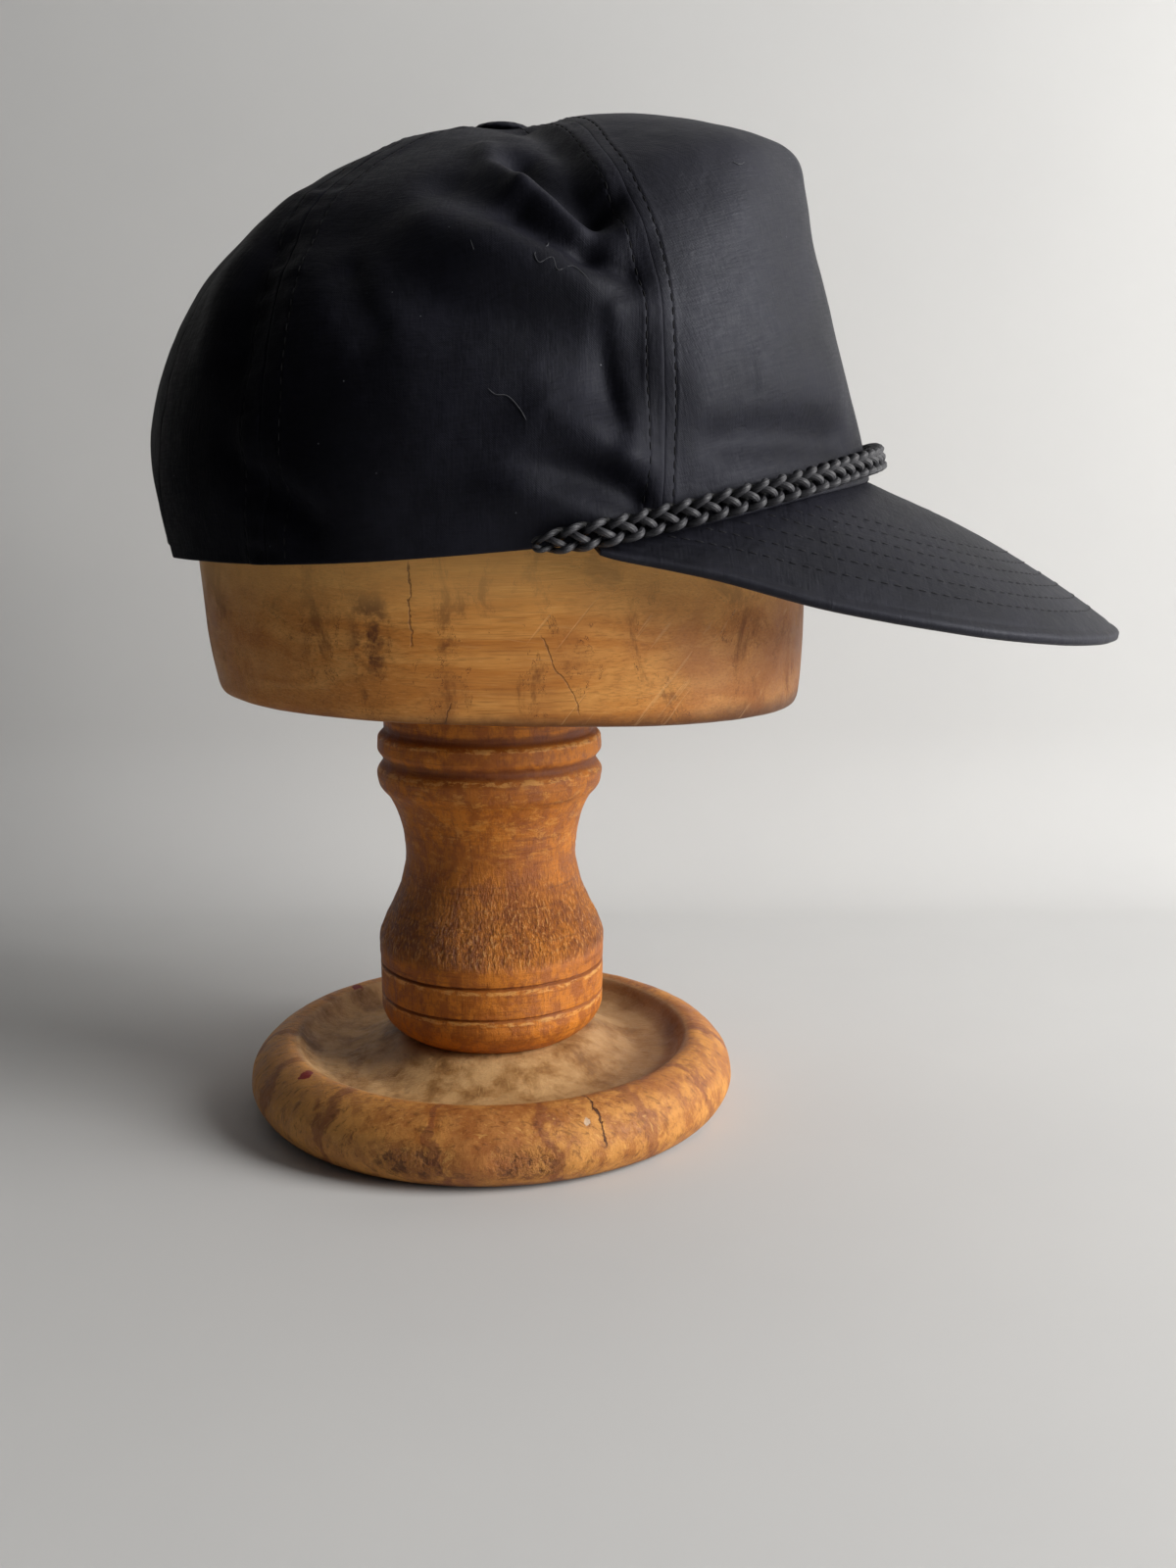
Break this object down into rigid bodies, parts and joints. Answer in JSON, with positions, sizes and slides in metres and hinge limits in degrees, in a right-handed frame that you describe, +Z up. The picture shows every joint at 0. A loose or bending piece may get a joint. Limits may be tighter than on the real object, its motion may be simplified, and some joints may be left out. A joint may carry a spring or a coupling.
{
  "type": "trucker cap on a wooden hat stand",
  "caption": "Black rope cap with a tall stiff front, soft folded sides and a curved peak, resting on a turned wooden hat stand with a dished round base.",
  "frame": {"origin": "middle of the underside of the stand's round base", "axes": "+Z up along the column; -Y is the way the cap faces, so the peak points along -Y; -X is the wearer's right side"},
  "size_m": [0.1741, 0.2714, 0.2809],
  "materials": {
    "poplin": "black-navy poplin with a slight sheen",
    "braid": "glossy black plaited cord",
    "block_wood": "honey-coloured, worn satin",
    "column_wood": "stained orange-brown, turned",
    "base_wood": "mottled brown, waxed and worn"
  },
  "bodies": {
    "root": {"front_panel": "poplin", "right_side_panel": "poplin", "left_side_panel": "poplin", "right_back_panel": "poplin", "left_back_panel": "poplin", "top_button": "poplin", "peak": "poplin", "back_strap": "poplin", "rope_band": "braid", "hat_block": "block_wood", "stand_column": "column_wood", "stand_base": "base_wood"}
  },
  "joints": []
}
